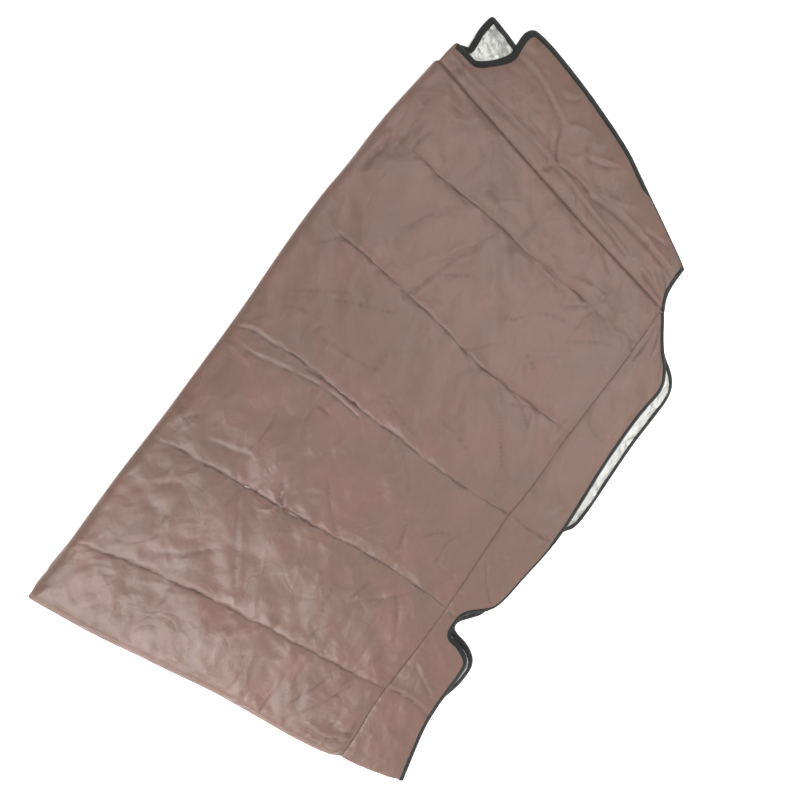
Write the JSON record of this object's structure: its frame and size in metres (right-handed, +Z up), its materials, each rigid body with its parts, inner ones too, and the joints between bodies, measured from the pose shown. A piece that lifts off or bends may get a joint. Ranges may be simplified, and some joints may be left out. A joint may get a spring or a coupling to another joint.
{
  "type": "infrared sauna blanket",
  "caption": "Padded infrared sauna blanket: a heated bottom layer and a heated top layer that opens about one long fold, with a bound side flap, arm opening and head flap.",
  "frame": {"origin": "centre of the footprint, on the surface the blanket lies on", "axes": "+Y towards the head end, +X from the fold towards the open side, +Z up"},
  "size_m": [1.12, 1.8, 0.0338],
  "materials": {
    "bottom_outer_shell": "smooth taupe brown polyester taffeta with a soft sheen",
    "bottom_insulation": "off-white needled wadding",
    "bottom_heating_mat": "white carrier fleece",
    "bottom_heating_wire": "dark red silicone covered carbon fibre wire",
    "bottom_lining": "silver coated lining",
    "bottom_side_binding": "black woven tape",
    "bottom_head_binding": "black woven tape",
    "bottom_thermal_cutoff": "white sleeve",
    "bottom_temperature_sensor": "white sensor body",
    "bottom_supply_lead": "light grey insulation",
    "bottom_sensor_lead": "light grey insulation",
    "bottom_return_lead": "light grey insulation",
    "controller_socket": "black moulded housing",
    "contact_block": "bright contact pins on a carrier",
    "lower_loop_strip": "black loop tape",
    "middle_loop_strip": "black loop tape",
    "neck_loop_strip": "black loop tape",
    "foot_loop_strip": "black loop tape",
    "fold_strip": "the outer cloth where it turns round the fold",
    "top_outer_shell": "smooth taupe brown polyester taffeta with a soft sheen",
    "top_insulation": "off-white needled wadding",
    "top_heating_mat": "white carrier fleece",
    "top_heating_wire": "dark red silicone covered carbon fibre wire",
    "top_lining": "silver coated lining",
    "top_thermal_cutoff": "white sleeve",
    "top_temperature_sensor": "white sensor body",
    "top_supply_lead": "light grey insulation",
    "top_sensor_lead": "light grey insulation",
    "top_return_lead": "light grey insulation",
    "neck_band_shell": "taupe outer cloth",
    "neck_band_padding": "off-white needled wadding",
    "neck_binding": "black woven tape",
    "foot_hook_strip": "black hook tape",
    "side_flap_shell": "taupe outer cloth",
    "side_flap_padding": "off-white needled wadding",
    "side_flap_lining": "silver coated lining",
    "side_flap_binding": "black woven tape",
    "lower_hook_strip": "black hook tape",
    "middle_hook_strip": "black hook tape",
    "neck_hook_strip": "black hook tape",
    "head_flap_shell": "taupe outer cloth",
    "head_flap_padding": "off-white needled wadding",
    "head_flap_lining": "silver coated lining",
    "head_flap_binding": "black woven tape"
  },
  "bodies": {
    "bottom_layer": {"bottom_outer_shell": "bottom_outer_shell", "bottom_insulation": "bottom_insulation", "bottom_heating_mat": "bottom_heating_mat", "bottom_heating_wire": "bottom_heating_wire", "bottom_lining": "bottom_lining", "bottom_side_binding": "bottom_side_binding", "bottom_head_binding": "bottom_head_binding", "bottom_thermal_cutoff": "bottom_thermal_cutoff", "bottom_temperature_sensor": "bottom_temperature_sensor", "bottom_supply_lead": "bottom_supply_lead", "bottom_sensor_lead": "bottom_sensor_lead", "bottom_return_lead": "bottom_return_lead", "controller_socket": "controller_socket", "contact_block": "contact_block", "lower_loop_strip": "lower_loop_strip", "middle_loop_strip": "middle_loop_strip", "neck_loop_strip": "neck_loop_strip", "foot_loop_strip": "foot_loop_strip", "fold_strip": "fold_strip"},
    "top_layer": {"top_outer_shell": "top_outer_shell", "top_insulation": "top_insulation", "top_heating_mat": "top_heating_mat", "top_heating_wire": "top_heating_wire", "top_lining": "top_lining", "top_thermal_cutoff": "top_thermal_cutoff", "top_temperature_sensor": "top_temperature_sensor", "top_supply_lead": "top_supply_lead", "top_sensor_lead": "top_sensor_lead", "top_return_lead": "top_return_lead", "neck_band_shell": "neck_band_shell", "neck_band_padding": "neck_band_padding", "neck_binding": "neck_binding", "foot_hook_strip": "foot_hook_strip"},
    "side_flap": {"side_flap_shell": "side_flap_shell", "side_flap_padding": "side_flap_padding", "side_flap_lining": "side_flap_lining", "side_flap_binding": "side_flap_binding", "lower_hook_strip": "lower_hook_strip", "middle_hook_strip": "middle_hook_strip", "neck_hook_strip": "neck_hook_strip"},
    "head_flap": {"head_flap_shell": "head_flap_shell", "head_flap_padding": "head_flap_padding", "head_flap_lining": "head_flap_lining", "head_flap_binding": "head_flap_binding"}
  },
  "joints": [
    {"name": "fold_hinge", "type": "hinge", "parent": "bottom_layer", "child": "top_layer", "pos_m": [-0.5568, 0, 0.0169], "axis": [0, -1, 0], "range_deg": [0, 180]},
    {"name": "side_flap_hinge", "type": "hinge", "parent": "top_layer", "child": "side_flap", "pos_m": [0.3332, 0, 0.0338], "axis": [0, -1, 0], "range_deg": [0, 170]},
    {"name": "head_flap_hinge", "type": "hinge", "parent": "top_layer", "child": "head_flap", "pos_m": [0, 0.725, 0.0338], "axis": [1, 0, 0], "range_deg": [0, 170]}
  ]
}
